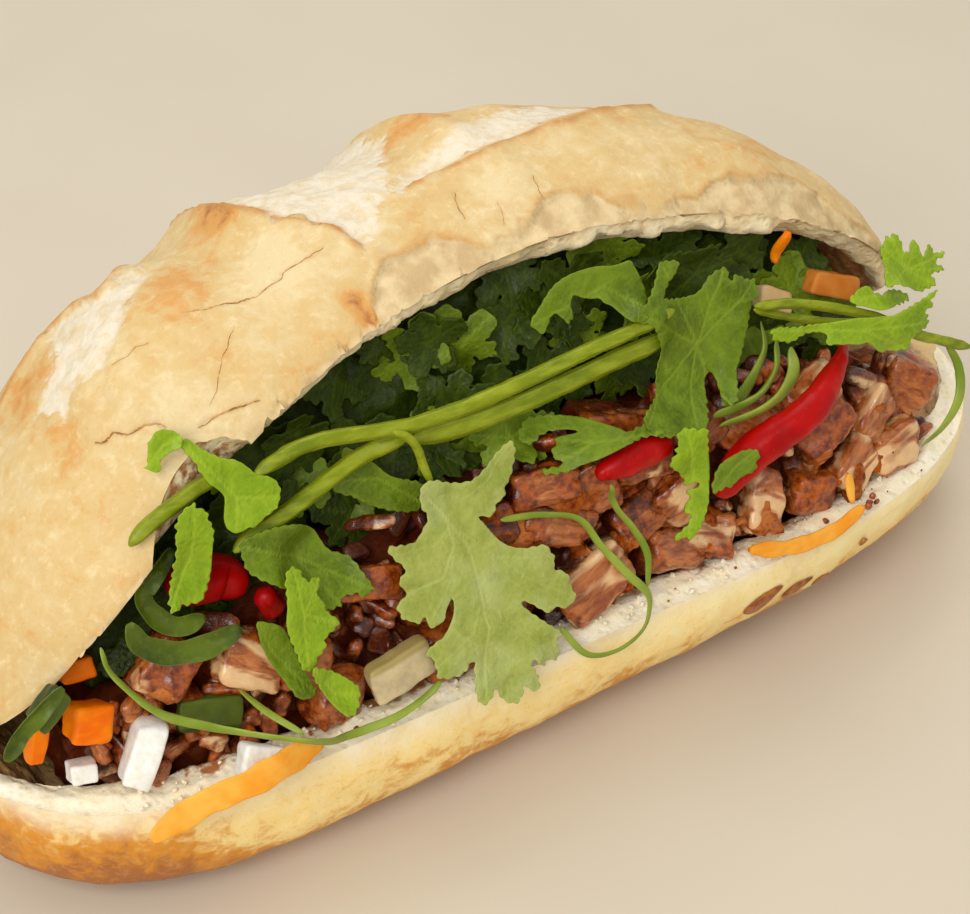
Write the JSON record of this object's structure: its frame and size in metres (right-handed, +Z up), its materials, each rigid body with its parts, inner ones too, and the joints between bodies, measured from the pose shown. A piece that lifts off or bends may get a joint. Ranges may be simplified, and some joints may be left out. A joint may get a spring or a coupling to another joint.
{
  "type": "banh mi sandwich",
  "caption": "Crusty roll slit along one side and propped open over roast pork, pickles, chilli, spring onion and coriander; a ready-to-eat sandwich that rests on its flat underside.",
  "frame": {"origin": "on the flat spot under the roll, at the middle of the face it rests on", "axes": "X along the roll, from the end at the picture's left to the end at its right; the mouth faces -Y and the hinge of the roll is at +Y; Z up"},
  "size_m": [0.2158, 0.1045, 0.101],
  "materials": {
    "crust": "baked wheat crust, matt, floury along the cuts, with a soft crumb inside",
    "pork": "roast pork in a dark glossy sauce",
    "leaf": "fresh coriander leaf, slightly waxy",
    "stem": "fresh coriander stem, pale green and slightly shiny",
    "onion": "fresh spring onion, cut in long strips",
    "chilli": "fresh red chilli, shiny skin",
    "carrot": "pickled carrot, moist",
    "daikon": "pickled daikon, moist and slightly translucent",
    "cucumber": "fresh cucumber, moist"
  },
  "bodies": {
    "root": {"bread": "crust", "carrot_chunk_left": "carrot", "carrot_chunk_upper": "carrot", "carrot_over_rim": "carrot", "carrot_right": "carrot", "carrot_slice_under_lid": "carrot", "carrot_stick_left": "carrot", "carrot_thin_right": "carrot", "carrot_under_lid": "carrot", "chilli_left": "chilli", "chilli_long": "chilli", "chilli_middle": "chilli", "chilli_small_left": "chilli", "coriander_arm": "leaf", "coriander_behind_left": "leaf", "coriander_behind_middle": "leaf", "coriander_behind_right": "leaf", "coriander_bright_left": "leaf", "coriander_bright_low": "leaf", "coriander_broad_left": "leaf", "coriander_centre": "leaf", "coriander_curl_over_lid": "leaf", "coriander_curled": "leaf", "coriander_fold_left": "leaf", "coriander_front": "leaf", "coriander_hanging_centre": "leaf", "coriander_hanging_left": "leaf", "coriander_heap": "leaf", "coriander_on_chilli": "leaf", "coriander_over_lid": "leaf", "coriander_sprig_blade": "leaf", "coriander_sprig_low": "leaf", "coriander_sprig_tip": "leaf", "cucumber_slice_far": "cucumber", "cucumber_slice_front": "cucumber", "cucumber_slice_left": "cucumber", "daikon_front": "daikon", "daikon_left": "daikon", "daikon_stick": "daikon", "daikon_under_lid": "daikon", "onion_branch": "onion", "onion_branch_middle": "onion", "onion_curl_inner": "onion", "onion_curl_middle": "onion", "onion_curl_outer": "onion", "onion_dark_left": "onion", "onion_far_left": "onion", "onion_ring_left": "onion", "onion_ring_middle": "onion", "onion_ring_right": "onion", "onion_wide_left": "onion", "petiole": "stem", "pork_heap": "pork", "stem_left": "stem", "stem_lower": "stem", "stem_middle": "stem", "stem_right_lower": "stem", "stem_right_upper": "stem", "stem_upper": "stem"}
  },
  "joints": []
}
